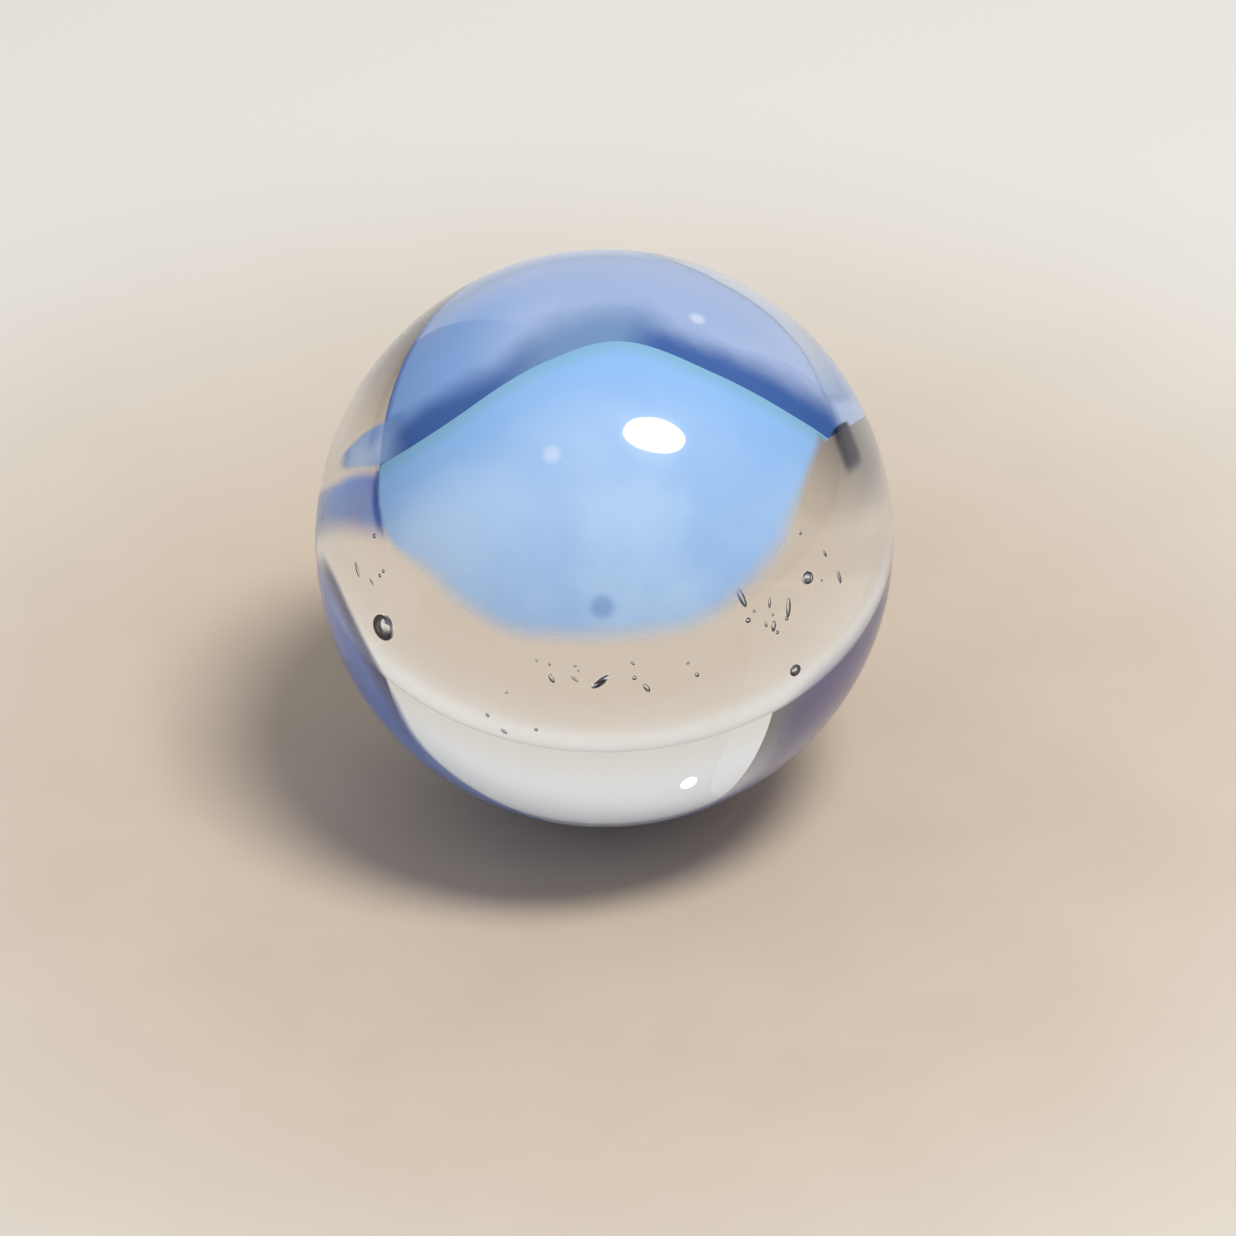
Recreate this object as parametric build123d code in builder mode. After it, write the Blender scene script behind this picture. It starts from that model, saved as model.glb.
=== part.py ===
# Glass marble: one solid ball of glass with a few gas seeds sealed inside it.
#
# Millimetres and degrees. The origin is the centre of the ball, +Z is up, and -Y is the
# front, where the coloured glass shows most. A seed is a bubble that the melt trapped when
# the gob was cut and rolled. Each one is placed by its azimuth (0 at the front, + towards
# +X), its elevation above the equator and its depth under the skin, so it stays under the
# skin when the ball changes size.

import os
from math import cos, radians, sin

from build123d import *

# Driving sizes
ball_diameter = 16.0

# The one large round seed, low on the left cheek
cheek_seed_diameter = 0.7
cheek_seed_depth = 1.3
cheek_seed_azimuth = -54
cheek_seed_elevation = 1

# A seed drawn out into a streak as the glass was rolled, at the front
streak_length = 0.8
streak_diameter = 0.2
streak_depth = 2.0
streak_azimuth = -1
streak_elevation = 0
streak_lean = 60  # from level

# Two smaller round seeds on the right cheek
right_seed_diameter = 0.32
upper_seed_depth = 2.2
upper_seed_azimuth = 56
upper_seed_elevation = 11
lower_seed_depth = 1.6
lower_seed_azimuth = 46
lower_seed_elevation = -7

ball_radius = ball_diameter / 2


def seed_plane(depth, azimuth, elevation):
    """The plane at a seed's centre: its Z points straight out through the skin, its X level."""
    level_out = Vector(sin(radians(azimuth)), -cos(radians(azimuth)), 0)
    out = level_out * cos(radians(elevation)) + Vector(0, 0, sin(radians(elevation)))
    sideways = Vector(cos(radians(azimuth)), sin(radians(azimuth)), 0)
    return Plane(origin=out * (ball_radius - depth), x_dir=sideways, z_dir=out)


cheek_plane = seed_plane(cheek_seed_depth, cheek_seed_azimuth, cheek_seed_elevation)
level_streak_plane = seed_plane(streak_depth, streak_azimuth, streak_elevation)
streak_plane = level_streak_plane.rotated((0, 0, streak_lean))
upper_plane = seed_plane(upper_seed_depth, upper_seed_azimuth, upper_seed_elevation)
lower_plane = seed_plane(lower_seed_depth, lower_seed_azimuth, lower_seed_elevation)

with BuildPart() as marble:
    Sphere(ball_radius)

    with Locations(cheek_plane):
        Sphere(cheek_seed_diameter / 2, mode=Mode.SUBTRACT)

    with Locations(upper_plane, lower_plane):
        Sphere(right_seed_diameter / 2, mode=Mode.SUBTRACT)

    # The streak is half an ellipse turned about its own long axis
    with BuildSketch(streak_plane):
        with BuildLine():
            EllipticalCenterArc((0, 0), streak_length / 2, streak_diameter / 2, arc_size=180)
            Line((-streak_length / 2, 0), (streak_length / 2, 0))
        make_face()
    revolve(axis=Axis(streak_plane.origin, streak_plane.x_dir), mode=Mode.SUBTRACT)

marble.part.label = "marble"

os.makedirs("parts", exist_ok=True)
export_step(marble.part, "parts/marble.step")

print("marble: volume", round(marble.part.volume, 2), "mm3")
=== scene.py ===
# %% [markdown]
# # A glass marble
# A machine-made marble starts as one gob of hot clear glass. A little opaque blue glass is
# laid over it, and two grooved rollers spin the gob into a ball while it cools. The blue
# stays as a thin skin on part of the ball, with pale folds where it was laid double, and the
# rest stays clear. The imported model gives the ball's size and place, so it is loaded first
# and everything below is built around it.

import math
import random

import bmesh
import bpy
import numpy as np
from mathutils import Matrix, Vector


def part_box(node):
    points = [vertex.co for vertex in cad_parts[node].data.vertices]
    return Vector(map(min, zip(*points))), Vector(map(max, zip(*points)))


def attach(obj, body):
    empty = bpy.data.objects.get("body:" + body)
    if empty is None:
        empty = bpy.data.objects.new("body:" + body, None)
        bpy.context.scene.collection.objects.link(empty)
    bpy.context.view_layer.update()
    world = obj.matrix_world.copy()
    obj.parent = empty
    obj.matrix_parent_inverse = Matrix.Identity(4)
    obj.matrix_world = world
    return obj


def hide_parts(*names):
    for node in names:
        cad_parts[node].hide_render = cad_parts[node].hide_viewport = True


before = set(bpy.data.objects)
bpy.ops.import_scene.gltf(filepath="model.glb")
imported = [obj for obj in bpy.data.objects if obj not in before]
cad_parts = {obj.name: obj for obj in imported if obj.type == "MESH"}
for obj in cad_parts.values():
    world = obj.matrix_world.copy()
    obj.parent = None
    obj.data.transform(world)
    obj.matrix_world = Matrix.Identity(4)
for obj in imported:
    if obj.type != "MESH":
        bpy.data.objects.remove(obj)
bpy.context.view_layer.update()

MM = 0.001
ball_low, ball_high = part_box("marble")
centre = (ball_low + ball_high) / 2
R = (ball_high.z - ball_low.z) / 2
print("ball radius in mm:", round(R / MM, 3))

# %% [markdown]
# ## Where things are on a ball
# A ball has no corners to measure from, so places on it are given as two angles. The blue
# patch looks out to the front and up, and its middle line is called the gaze here. A place
# is then a clock angle, clockwise from the top as one faces the patch, and a lean, which is
# how far it lies from the gaze: 90 is the edge of what one sees, and 180 is straight behind.

# %% Angles to directions
gaze_rise = math.radians(35)
gaze = np.array([0, -math.cos(gaze_rise), math.sin(gaze_rise)])
gaze_up = np.array([0, math.sin(gaze_rise), math.cos(gaze_rise)])
gaze_right = np.array([1.0, 0, 0])


def toward(clock, lean):
    """The direction from the ball's centre to a place on its skin."""
    c, l = math.radians(clock), math.radians(lean)
    across = math.sin(c) * gaze_right + math.cos(c) * gaze_up
    return math.cos(l) * gaze + math.sin(l) * across


def unit(vectors):
    return vectors / np.linalg.norm(vectors, axis=-1, keepdims=True)


print("gaze:", gaze.round(3))

# %% [markdown]
# ## Shader maths as plain expressions
# A material is a graph of nodes, and a graph is hard to read as code. This small class wraps
# one socket, so that `1 - mask * 0.5` adds the Math nodes by itself. Colours go through Mix
# nodes, because a Math node turns a colour grey.

# %% One class for node maths
class Wire:
    """A value or a colour on its way through one material."""

    def __init__(self, tree, socket=None):
        self.tree, self.socket = tree, socket

    def node(self, kind, settings=None, inputs=None, output=0):
        """Any node: its settings are set first, then the values or links of its sockets."""
        made = self.tree.nodes.new(kind)
        settings = dict(settings or {})
        stops = settings.pop("stops", None)
        for name, value in settings.items():
            setattr(made, name, value)
        if stops:
            ramp = made.color_ramp
            while len(ramp.elements) < len(stops):
                ramp.elements.new(0.5)
            for element, (place, colour) in zip(ramp.elements, stops):
                element.position = place
                element.color = (*colour, 1)
        for name, value in (inputs or {}).items():
            if isinstance(value, Wire):
                self.tree.links.new(value.socket, made.inputs[name])
            else:
                made.inputs[name].default_value = value
        return Wire(self.tree, made.outputs[output])

    def maths(self, operation, first, second):
        return self.node("ShaderNodeMath", {"operation": operation}, {0: first, 1: second})

    def part(self, axis):
        """One of a vector's three numbers."""
        return self.node("ShaderNodeSeparateXYZ", inputs={0: self}, output=axis)

    def __add__(self, other):
        return self.maths("ADD", self, other)

    def __radd__(self, other):
        return self.maths("ADD", other, self)

    def __sub__(self, other):
        return self.maths("SUBTRACT", self, other)

    def __rsub__(self, other):
        return self.maths("SUBTRACT", other, self)

    def __mul__(self, other):
        return self.maths("MULTIPLY", self, other)

    def __rmul__(self, other):
        return self.maths("MULTIPLY", other, self)

    def __truediv__(self, other):
        return self.maths("DIVIDE", self, other)

    def most(self, other):
        return self.maths("MAXIMUM", self, other)

    def smooth(self, low, high):
        """0 below low, 1 above high, and a soft step between them."""
        settings = {"interpolation_type": "SMOOTHSTEP"}
        return self.node("ShaderNodeMapRange", settings, {0: self, 1: low, 2: high})

    def blend(self, first, second):
        """A colour that runs from first to second as this value goes from 0 to 1."""
        first, second = ((*c, 1) if isinstance(c, tuple) else c for c in (first, second))
        settings = {"data_type": "RGBA"}
        return self.node("ShaderNodeMix", settings, {0: self, 6: first, 7: second}, output=2)


def srgb(red, green, blue):
    """A colour as it looks on a screen, 0 to 255, turned into the light that it stands for."""
    shares = (red / 255, green / 255, blue / 255)
    return tuple(s / 12.92 if s <= 0.04045 else ((s + 0.055) / 1.055) ** 2.4 for s in shares)


def material(name, **plain):
    """A new material with one Principled shader, and a Wire to start its expressions from."""
    made = bpy.data.materials.new(name)
    made.use_nodes = True
    shader = made.node_tree.nodes["Principled BSDF"]
    for socket, value in plain.items():
        shader.inputs[socket.replace("_", " ")].default_value = value
    return made, shader, Wire(made.node_tree)


def feed(wire, shader, socket):
    wire.tree.links.new(wire.socket, shader.inputs[socket])


print("Wire is ready")

# %% [markdown]
# ## The camera
# A small thing is looked at from a hand's breadth through a long lens, and down at about
# the angle at which one looks at a table. The ball sits a little above the middle of the
# picture, so the camera is turned rather than shifted.

# %% Camera
camera_distance = 0.150
camera_lens = 158
aim_below = 0.84
aim_right = 0.14

camera_data = bpy.data.cameras.new("camera")
camera_data.lens = camera_lens
camera_data.sensor_width = 36
camera_data.clip_start = 0.01
camera = bpy.data.objects.new("camera", camera_data)
bpy.context.scene.collection.objects.link(camera)
bpy.context.scene.camera = camera
camera.location = centre + Vector(gaze * camera_distance)
looking = (
    -gaze
    - gaze_up * math.tan(math.radians(aim_below))
    + gaze_right * math.tan(math.radians(aim_right))
)
camera.rotation_mode = "QUATERNION"
camera.rotation_quaternion = Vector(looking).to_track_quat("-Z", "Y")
print("camera at mm:", [round(v / MM, 1) for v in camera.location])

# %% [markdown]
# ## The table and the light
# Clear glass shows what stands around it, upside down, so the surroundings are part of the
# look. The floor is a pale matt sheet. A bright screen stands far behind the ball, and is
# what the lower half of the glass shows. One small soft lamp hangs high above, a little to
# the right: its reflection is the bright highlight. A broad weak lamp fills in the left side,
# a tiny one behind is seen only through the glass, and a wide dim sky fills the rest.

# %% Floor and screen
floor_size = 1.2
screen_distance = 0.30
screen_height = 0.26
floor_level = ball_low.z


def sheet_mesh(name, corners, finish):
    mesh = bpy.data.meshes.new(name)
    mesh.from_pydata([tuple(c) for c in corners], [], [tuple(range(len(corners)))])
    made = bpy.data.objects.new(name, mesh)
    bpy.context.scene.collection.objects.link(made)
    mesh.materials.append(finish)
    return made


floor_finish, shader, start = material("floor_finish", Roughness=0.8, Specular_IOR_Level=0.1)
place = start.node("ShaderNodeTexCoord", output="Object")
grain = start.node("ShaderNodeTexNoise", inputs={"Vector": place, "Scale": 220.0, "Detail": 3.0})
distance = start.node(
    "ShaderNodeVectorMath", {"operation": "LENGTH"}, {0: place}, output="Value"
)
# The floor is painted darker close to the ball, as painted shade, and paler further out, as painted
# light that meets the screen's glow.
near = grain.smooth(0.3, 0.7).blend(srgb(198, 183, 165), srgb(202, 187, 170))
feed(distance.smooth(0.012, 0.040).blend(near, srgb(222, 220, 215)), shader, "Base Color")
half = floor_size / 2
sheet_mesh(
    "floor",
    [(-half, -half, floor_level), (half, -half, floor_level),
     (half, half, floor_level), (-half, half, floor_level)],
    floor_finish,
)

screen_finish, shader, start = material("screen_finish", Roughness=0.9, Emission_Strength=1.0)
shader.inputs["Base Color"].default_value = (0, 0, 0, 1)
height = start.node("ShaderNodeTexCoord", output="Object").part(2)
glow = height.smooth(-0.01, 0.06).blend(srgb(220, 214, 205), srgb(226, 227, 228))
feed(glow, shader, "Emission Color")
screen_left = -0.16
screen_right = 0.26
sheet_mesh(
    "screen",
    [(screen_left, screen_distance, floor_level), (screen_right, screen_distance, floor_level),
     (screen_right, screen_distance, screen_height), (screen_left, screen_distance, screen_height)],
    screen_finish,
)
print("floor at mm:", round(floor_level / MM, 2))

# %% Lamps and sky
def lamp(name, away, distance, width, height, power, colour, level=(1, 0, 0)):
    data = bpy.data.lights.new(name, "AREA")
    data.shape = "ELLIPSE"
    data.size, data.size_y = width, height
    data.energy = power
    data.color = colour
    made = bpy.data.objects.new(name, data)
    bpy.context.scene.collection.objects.link(made)
    away = Vector(away).normalized()
    upward = away.cross(Vector(level)).normalized()
    sideways = upward.cross(away)
    made.location = centre + away * distance
    made.rotation_mode = "QUATERNION"
    made.rotation_quaternion = Matrix((sideways, upward, away)).transposed().to_quaternion()
    return made


key_lamp = lamp("key_lamp", (0.307, -0.214, 0.927), 0.30, 0.118, 0.072, 0.70, (1.0, 0.97, 0.92))
fill_lamp = lamp("fill_lamp", (-0.78, -0.55, 0.22), 0.35, 0.50, 0.50, 0.20, (0.95, 0.98, 1.0))
back_lamp = lamp("back_lamp", (-0.249, 0.94, 0.229), 0.28, 0.014, 0.024, 0.004, (1.0, 0.97, 0.92))
back_lamp.visible_glossy = False

sky = bpy.data.worlds.new("sky")
bpy.context.scene.world = sky
sky.use_nodes = True
background = sky.node_tree.nodes["Background"]
background.inputs["Strength"].default_value = 0.62
start = Wire(sky.node_tree)
height = start.node("ShaderNodeTexCoord", output="Generated").part(2)
sky_colour = height.smooth(0.02, 0.75).blend(srgb(132, 124, 124), srgb(226, 228, 234))
feed(sky_colour, background, "Color")
print("lamps:", key_lamp.name, fill_lamp.name, back_lamp.name)
bpy.context.scene.view_settings.view_transform = "Standard"

# %% [markdown]
# ## The clear ball
# The clear glass is a true ball, so a fine even mesh of triangles is the right form: a
# coarse one would show as facets, because glass bends every ray twice. The gas seeds are
# holes in it. Each is a small closed shell with its faces turned inward, which tells the
# renderer that the glass is outside and the gas inside. The largest ones are read from the
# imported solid, so they stay where the solid has them.

# %% Seeds that the solid already has
skin_gap = 0.010 * MM
glass_radius = R - 2 * skin_gap


def solid_seeds():
    """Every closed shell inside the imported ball, as (centre, three half sizes, three axes)."""
    source = bmesh.new()
    source.from_mesh(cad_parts["marble"].data)
    bmesh.ops.remove_doubles(source, verts=source.verts, dist=1e-6)
    left_over, found = set(source.verts), []
    while left_over:
        group, edge = set(), [left_over.pop()]
        while edge:
            vertex = edge.pop()
            group.add(vertex)
            for link in vertex.link_edges:
                other = link.other_vert(vertex)
                if other not in group:
                    group.add(other)
                    edge.append(other)
        left_over -= group
        points = np.array([tuple(v.co) for v in group])
        middle = (points.min(0) + points.max(0)) / 2
        if np.ptp(points, axis=0).max() < R:
            axes = np.linalg.svd(points - middle, full_matrices=False)[2]
            halves = np.abs((points - middle) @ axes.T).max(0)
            found.append((middle, halves, axes))
    source.free()
    return found


seeds = solid_seeds()
for middle, halves, axes in seeds:
    print("seed at mm", (middle / MM).round(2), "half sizes", (halves / MM).round(3))

# %% [markdown]
# Finer seeds come in drifts, where a fold of the gob shut some air in. Their places are
# chance, so each drift is a few numbers and a seeded random draw: where it lies, how wide it
# spreads, how many seeds it holds, and how large they are.

# %% Drifts of fine seeds
random.seed(7)
drifts = [
    # clock, lean, spread across, spread along, seeds, depth range mm, radius range mm
    (196, 34, 30, 9, 7, (1.2, 2.8), (0.030, 0.075)),
    (164, 34, 16, 6, 4, (1.2, 2.6), (0.030, 0.070)),
    (118, 43, 10, 12, 10, (0.8, 2.6), (0.035, 0.090)),
    (96, 55, 9, 8, 5, (0.8, 2.0), (0.030, 0.060)),
    (262, 60, 9, 7, 5, (0.6, 1.8), (0.030, 0.070)),
    (308, 58, 6, 6, 3, (0.8, 1.6), (0.035, 0.080)),
    (200, 50, 20, 7, 4, (1.0, 3.0), (0.025, 0.050)),
]


def drifting_seeds():
    found = []
    for clock, lean, across, along, count, depths, radii in drifts:
        for _ in range(count):
            turn = clock + random.gauss(0, 0.5) * across
            tilt = lean + random.gauss(0, 0.5) * along
            middle = toward(turn, tilt) * (R - random.uniform(*depths) * MM)
            radius = random.uniform(*radii) * MM
            stretch = random.choice((1, 1, 1.3, 2.2, 3.5))
            level = unit(np.cross(middle, gaze_up))
            slope = math.radians(random.uniform(40, 80))
            long = level * math.cos(slope) + unit(np.cross(level, middle)) * math.sin(slope)
            side = unit(np.cross(long, middle))
            axes = np.array([long, side, np.cross(long, side)])
            found.append((middle, radius * np.array([stretch, 1, 1]), axes))
    return found


seeds += drifting_seeds()
print("seeds in all:", len(seeds))

# %% Build the ball with its seeds
def add_shell(shape, middle, halves, axes, fineness, inward):
    made = bmesh.ops.create_icosphere(shape, subdivisions=fineness, radius=1)["verts"]
    for vertex in made:
        vertex.co = Vector(middle + (np.array(vertex.co) * halves) @ axes)
    faces = {face for vertex in made for face in vertex.link_faces}
    handed = np.linalg.det(axes) < 0
    if inward != handed:
        bmesh.ops.reverse_faces(shape, faces=list(faces))


def as_object(name, shape, finish):
    mesh = bpy.data.meshes.new(name)
    shape.to_mesh(mesh)
    shape.free()
    mesh.polygons.foreach_set("use_smooth", [True] * len(mesh.polygons))
    made = bpy.data.objects.new(name, mesh)
    bpy.context.scene.collection.objects.link(made)
    mesh.materials.append(finish)
    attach(made, "root")
    return made


glass_finish, shader, start = material(
    "clear_glass_finish", Roughness=0.0, IOR=1.51, Transmission_Weight=1.0
)
shader.inputs["Base Color"].default_value = (0.985, 0.992, 0.99, 1)

shape = bmesh.new()
add_shell(shape, np.array(centre), np.full(3, glass_radius), np.eye(3), 7, inward=False)
large_seed = 0.2 * MM
for middle, halves, axes in seeds:
    fineness = 4 if halves.max() > large_seed else 3
    add_shell(shape, middle, halves, axes, fineness, inward=True)
clear_ball = as_object("clear_ball", shape, glass_finish)
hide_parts("marble")
print("clear ball faces:", len(clear_ball.data.polygons))

# %% [markdown]
# ## Glass laid on the skin
# Each fold of coloured glass lies on the ball like a leaf: it has a lower edge and an upper
# edge, and the surface between them follows the ball. So one function makes them all. It
# runs a smooth curve through a few places along each edge, joins the two curves by arcs, and
# notes on every point how far it lies from each edge. The finishes use those notes to fade
# and tint the glass towards its edges.

# %% A leaf of glass
steps_between_places = 40
merge_distance = 0.002 * MM


def edge_curve(places, count):
    """A smooth curve on the ball through a few (clock, lean) places, evenly spaced."""
    knots = np.array([toward(*place) for place in places])
    ends = [2 * knots[0] - knots[1], 2 * knots[-1] - knots[-2]]
    padded = np.vstack([ends[0], knots, ends[1]])
    fine = []
    for i in range(len(knots) - 1):
        a, b, c, d = padded[i : i + 4]
        for t in np.linspace(0, 1, steps_between_places, endpoint=False):
            fine.append(
                0.5 * (2 * b + (c - a) * t + (2 * a - 5 * b + 4 * c - d) * t**2
                       + (3 * b - a - 3 * c + d) * t**3)
            )
    fine = unit(np.array(fine + [knots[-1]]))
    steps = np.linalg.norm(np.diff(fine, axis=0), axis=1)
    run = np.concatenate([[0], np.cumsum(steps)])
    wanted = np.linspace(0, run[-1], count)
    return unit(np.array([np.interp(wanted, run, fine[:, k]) for k in range(3)]).T)


def nearest(points, curve):
    """How far each point lies from a curve, in mm along the ball."""
    best = np.clip((points @ curve.T).max(1), -1, 1)
    return np.arccos(best) * R / MM


def leaf(name, lower, upper, finish, layer, across=180, up=90):
    low, high = edge_curve(lower, across), edge_curve(upper, across)
    turn = np.arccos(np.clip((low * high).sum(1), -1, 1))[:, None, None]
    share = np.linspace(0, 1, up)[None, :, None]
    small = np.maximum(np.sin(turn), 1e-6)
    flat = turn < 1e-4
    a = np.where(flat, 1 - share, np.sin((1 - share) * turn) / small)
    b = np.where(flat, share, np.sin(share * turn) / small)
    rows = unit(a * low[:, None] + b * high[:, None]).reshape(-1, 3)
    shape = bmesh.new()
    grid = rows.reshape(across, up, 3)
    measured = {
        "from_lower": nearest(rows, low),
        "from_upper": nearest(rows, high),
        "from_left": nearest(rows, grid[0]),
        "along": np.repeat(np.linspace(0, 1, across), up),
    }
    layers = {kind: shape.verts.layers.float.new(kind) for kind in measured}
    verts = []
    for k, row in enumerate(rows):
        vertex = shape.verts.new(np.array(centre) + row * (R - layer * skin_gap))
        for kind, values in measured.items():
            vertex[layers[kind]] = float(values[k])
        verts.append(vertex)
    for i in range(across - 1):
        for j in range(up - 1):
            k = i * up + j
            shape.faces.new((verts[k], verts[k + up], verts[k + up + 1], verts[k + 1]))
    bmesh.ops.remove_doubles(shape, verts=shape.verts, dist=merge_distance)
    bmesh.ops.recalc_face_normals(shape, faces=shape.faces)
    out = sum((f.normal.dot(f.calc_center_median() - centre) for f in shape.faces), 0.0)
    if out < 0:
        bmesh.ops.reverse_faces(shape, faces=shape.faces)
    made = as_object(name, shape, finish)
    print(name, "faces:", len(made.data.polygons))
    return made


def note(start, name):
    return start.node("ShaderNodeAttribute", {"attribute_name": name}, output="Fac")


def cloud(start, scale, detail=3.0, seed=0.0):
    place = start.node("ShaderNodeTexCoord", output="Object")
    moved = start.node(
        "ShaderNodeMapping", inputs={"Vector": place, "Location": (seed, 0, 0)}
    )
    return start.node(
        "ShaderNodeTexNoise", inputs={"Vector": moved, "Scale": scale, "Detail": detail}
    )


def spot(start, clock, lean, inner, outer):
    """1 within `inner` mm of a place on the skin, fading to 0 at `outer` mm."""
    here = start.node("ShaderNodeTexCoord", output="Object")
    there = tuple(toward(clock, lean) * R + np.array(centre))
    gap = start.node(
        "ShaderNodeVectorMath", {"operation": "DISTANCE"}, {0: here, 1: there}, output="Value"
    )
    return 1 - gap.smooth(inner * MM, outer * MM)


# %% [markdown]
# ### The blue eye
# The thickest blue lies at the front. It is opaque sky-blue glass, a little uneven, as milk
# is in water. Its top edge is a crisp fold with a trace of green. Its lower edge thins out.
# Its left side is painted paler, as painted light falling from the left.

# %% The blue eye
eye_upper = [(-73, 53), (-64, 45), (-49, 39), (-19, 38), (5, 41), (33, 41), (54, 47), (66, 55)]
eye_lower = [
    (-73, 53), (-83, 50), (-92, 46), (-102, 39), (-118, 34), (-140, 28), (-178, 22),
    (137, 27), (114, 32), (96, 38), (84, 41), (74, 46), (66, 55),
]
eye_finish, shader, start = material(
    "blue_eye_finish", Roughness=0.045, IOR=1.5, Coat_Weight=0.16, Coat_Roughness=0.2
)
mottle = cloud(start, 320.0, 4.0).smooth(0.35, 0.68)
broad = cloud(start, 130.0, 2.0, seed=0.4).smooth(0.35, 0.65)
along, from_upper, from_lower = (note(start, n) for n in ("along", "from_upper", "from_lower"))
colour = mottle.blend(srgb(150, 187, 234), srgb(175, 205, 240))
colour = (broad * 0.4).blend(colour, srgb(150, 188, 234))
colour = ((1 - from_upper.smooth(0.4, 3.4)) * 0.8).blend(colour, srgb(132, 178, 232))
green_edge = 1 - from_upper.smooth(0.05, 0.6)
colour = (green_edge * 0.7).blend(colour, srgb(120, 172, 198))
# Painted light: the left part of the eye is painted paler, as if more light fell on it from the
# left.
left_painted_light = (1 - along.smooth(0.15, 0.55)) * from_upper.smooth(0.8, 2.6)
colour = (left_painted_light * 0.55).blend(colour, srgb(186, 214, 246))
# Painted highlight: a small pale spot at the upper left of the eye.
colour = (spot(start, -32, 19, 0.10, 0.34) * 0.5).blend(colour, srgb(214, 228, 248))
colour = (spot(start, 182, 13, 0.14, 0.46) * 0.55).blend(colour, srgb(98, 138, 198))
feed(colour, shader, "Base Color")
ragged = from_lower + (cloud(start, 420.0) - 0.5) * 0.3
fade = 0.22 + along.smooth(0.05, 0.3) * 0.75 - along.smooth(0.72, 0.9) * 0.5
crisp_top = (1 - from_upper.smooth(0.0, 0.25)) * along.smooth(0.02, 0.1)
feed((ragged / fade).smooth(0.08, 1.0).most(crisp_top), shader, "Alpha")
leaf("blue_eye", eye_lower, eye_upper, eye_finish, layer=0)

# %% [markdown]
# ### The pale cap
# Above the eye the skin is thinner and folded double: deep blue along the fold, then a
# milky lavender over the top of the ball and down its back. A small whitish spot near the
# top is a painted highlight.

# %% The pale cap
cap_front = [
    (-73, 52), (-64, 44), (-49, 38), (-19, 37), (5, 40), (33, 40), (54, 46), (66, 54),
]
cap_back = [
    (0, 108), (4, 126), (10, 142), (22, 152), (38, 151), (52, 136), (60, 120), (64, 104),
]
cap_finish, shader, start = material(
    "pale_cap_finish", Roughness=0.03, IOR=1.5, Coat_Weight=0.07, Coat_Roughness=0.16
)
along, from_left = note(start, "along"), note(start, "from_left")
from_lower, from_upper = note(start, "from_lower"), note(start, "from_upper")
rise = from_lower + (cloud(start, 260.0, 4.0) - 0.5) * 1.7
milky = cloud(start, 150.0, 3.0, seed=0.2).smooth(0.35, 0.7)
lavender = milky.blend(srgb(146, 168, 208), srgb(168, 184, 218))
left_side = (1 - along.smooth(0.15, 0.5)) * (1 - from_lower.smooth(2.8, 5.2))
body = (left_side * 0.85).blend(lavender, srgb(116, 158, 216))
# Painted highlight: a small whitish spot near the top of the cap.
body = (spot(start, 23, 53, 0.10, 0.30) * 0.6).blend(body, srgb(206, 216, 236))
middle = along.smooth(0.25, 0.42) * (1 - along.smooth(0.52, 0.62))
fold = middle.blend(srgb(52, 90, 156), srgb(106, 138, 182))
fold_width = 1.3 + middle * 0.7
deep = 1 - (rise / fold_width).smooth(0.3, 1.2)
colour = deep.blend(body, fold)
rim_line = (1 - from_left.smooth(0.0, 0.3)) * from_upper.smooth(0.5, 3.0) * 0.7
feed(rim_line.blend(colour, srgb(62, 84, 160)), shader, "Base Color")
leaf("pale_cap", cap_front, cap_back, cap_finish, layer=1, across=200, up=160)

# %% [markdown]
# ### The painted rim reflection
# Along the right edge of the cap a milky band is painted on the skin, as a painted
# reflection along the rim.

# %% The painted rim reflection
white_inner = [(4, 79), (14, 75), (23, 72), (32, 70), (39, 68), (46, 66), (53, 63), (60, 60)]
white_outer = [
    (0, 100), (12, 108), (24, 112), (34, 112), (44, 110), (53, 106), (60, 98), (64, 88),
]
white_finish, shader, start = material("rim_painted_reflection_finish", Roughness=0.03, IOR=1.5)
haze = cloud(start, 240.0, 3.0, seed=0.7).smooth(0.3, 0.7)
along, from_upper, from_lower = (note(start, n) for n in ("along", "from_upper", "from_lower"))
# Painted reflection: the pale band stands in for light reflected along the rim.
colour = haze.blend(srgb(180, 192, 212), srgb(196, 205, 218))
blue_end = along.smooth(0.75, 1.0) * 0.8
feed(blue_end.blend(colour, srgb(136, 168, 216)), shader, "Base Color")
inner_edge = (from_lower + (haze - 0.5) * 0.15).smooth(0.0, 0.35)
ends = along.smooth(0.0, 0.25) * (1 - along.smooth(0.93, 1.0))
feed(inner_edge * ends * from_upper.smooth(0.0, 4.2) * 0.95, shader, "Alpha")
leaf(
    "rim_painted_reflection", white_inner, white_outer, white_finish, layer=0.5, across=120, up=70
)

# %% [markdown]
# ### Wing, lobe, crease and tick
# Thin folds finish the blue. A small wing points left from the corner of the cap. A cloudy
# lobe runs from the eye's left corner round the side, and a dark crease parts the two. At
# the right corner a small dark tick ends the cap. All four are the same kind of thin cloudy
# glass, so one function makes their finishes.

# %% Thin folds
def thin_finish(name, first, second, scale, edges, strength, ends):
    """Cloudy thin glass: two tones, fading over `edges` mm at its lower and upper edge."""
    made, shader, start = material(name, Roughness=0.03, IOR=1.5)
    cloudy = cloud(start, scale, 3.0, seed=0.9).smooth(0.32, 0.68)
    colour = cloudy.blend(first, second)
    feed(colour, shader, "Base Color")
    body = note(start, "from_lower").smooth(0.0, edges[0])
    body = body * note(start, "from_upper").smooth(0.0, edges[1])
    along = note(start, "along")
    body = body * along.smooth(0.0, ends[0]) * (1 - along.smooth(ends[1], 1.0))
    feed(body * (cloudy * 0.25 + 0.75) * strength, shader, "Alpha")
    return made


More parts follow.
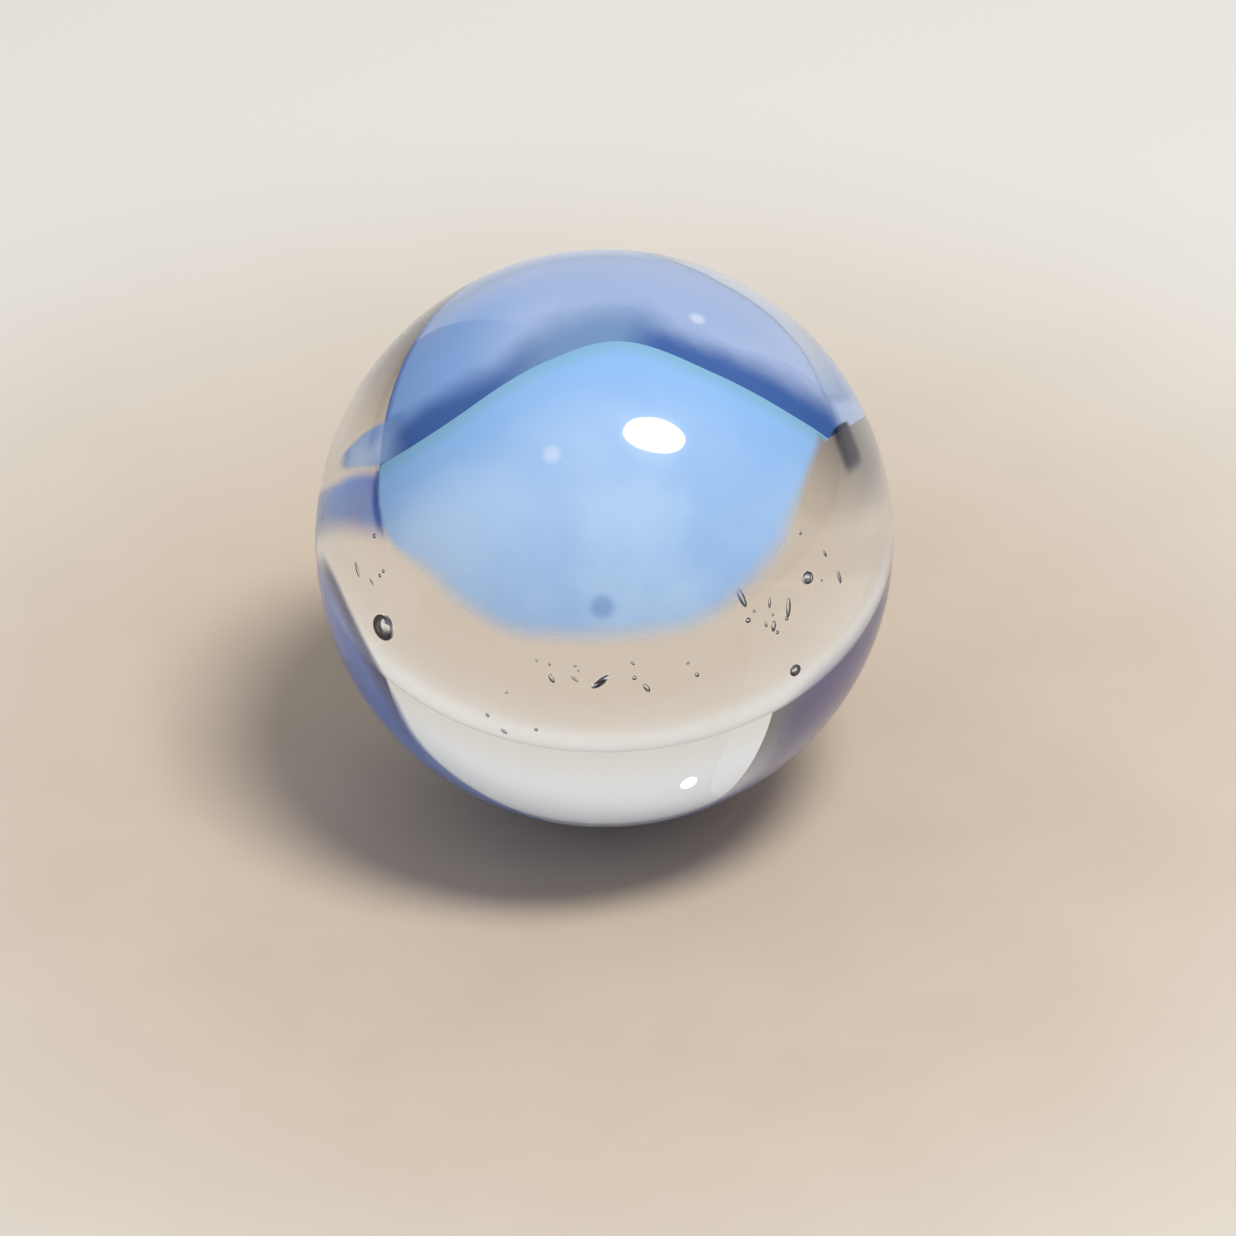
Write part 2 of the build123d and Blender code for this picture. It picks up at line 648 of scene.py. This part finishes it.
leaf(
    "cap_wing",
    [(-66, 44), (-72, 50), (-75, 60), (-76, 69)],
    [(-55, 53), (-61, 57), (-66, 63), (-73, 71)],
    thin_finish(
        "cap_wing_finish", srgb(160, 192, 238), srgb(104, 142, 206), 560.0, (0.25, 0.2), 0.97,
        (0.35, 0.8),
    ),
    layer=0.5, across=60, up=30,
)
leaf(
    "left_lobe",
    [(-92, 42), (-92, 50), (-91, 60), (-91, 70), (-93, 82), (-98, 98), (-104, 114)],
    [(-72, 49), (-73, 56), (-75, 63), (-78, 72), (-80, 84), (-84, 98), (-90, 114)],
    thin_finish(
        "left_lobe_finish", srgb(66, 112, 198), srgb(122, 166, 232), 360.0, (0.9, 0.4), 1.0,
        (0.01, 0.85),
    ),
    layer=0.7, across=90, up=40,
)
leaf(
    "eye_crease",
    [(-73, 50), (-79, 49), (-86, 48), (-92, 46)],
    [(-71, 54), (-79, 53), (-86, 51), (-92, 48)],
    thin_finish(
        "eye_crease_finish", srgb(44, 84, 170), srgb(60, 100, 182), 700.0, (0.05, 0.25), 0.9,
        (0.1, 0.6),
    ),
    layer=0.3, across=50, up=16,
)
leaf(
    "dark_tick",
    [(77, 56), (76, 61), (74, 67)],
    [(65, 56), (64, 61), (64, 67)],
    thin_finish(
        "dark_tick_finish", srgb(20, 24, 42), srgb(36, 40, 64), 900.0, (0.45, 0.08), 1.0,
        (0.3, 0.7),
    ),
    layer=0.8, across=24, up=24,
)

# %% [markdown]
# ### The skin under the ball
# A last thin skin lies low on the ball. From the front only its edge shows, as a coloured
# line along the rim: blue at the left, where its inner edge is dark, and violet at the right.

# %% The skin under the ball
under_finish, shader, start = material("under_skin_finish", Roughness=0.03, IOR=1.5)
cloudy = cloud(start, 300.0, 3.0, seed=0.9).smooth(0.32, 0.68)
along, from_upper, from_lower = (note(start, n) for n in ("along", "from_upper", "from_lower"))
right_side = along.smooth(0.45, 0.7)
blue = cloudy.blend(srgb(84, 128, 224), srgb(108, 140, 220))
violet = cloudy.blend(srgb(92, 84, 146), srgb(106, 98, 164))
colour = right_side.blend(blue, violet)
crescent = (1 - from_upper.smooth(0.3, 1.3)) * (1 - along.smooth(0.16, 0.3))
feed((crescent * 0.85).blend(colour, srgb(62, 58, 98)), shader, "Base Color")
inner = (from_upper / (right_side * 0.9 + 0.35)).smooth(0.0, 1.0)
ends = along.smooth(0.0, 0.06) * (1 - along.smooth(0.9, 1.0))
body = inner * from_lower.smooth(0.0, 1.4) * ends
feed(body * (0.95 - right_side * 0.2) * (cloudy * 0.2 + 0.8), shader, "Alpha")
leaf(
    "under_skin",
    [(-96, 98), (-108, 112), (-125, 128), (-145, 140), (-170, 148), (168, 150), (146, 140),
     (126, 124), (108, 110), (94, 98)],
    [(-90, 76), (-97, 67), (-106, 62), (-118, 60), (-128, 62), (-140, 69), (-160, 76),
     (180, 84), (152, 72), (134, 54), (114, 59), (92, 82)],
    under_finish, layer=1, across=200, up=90,
)
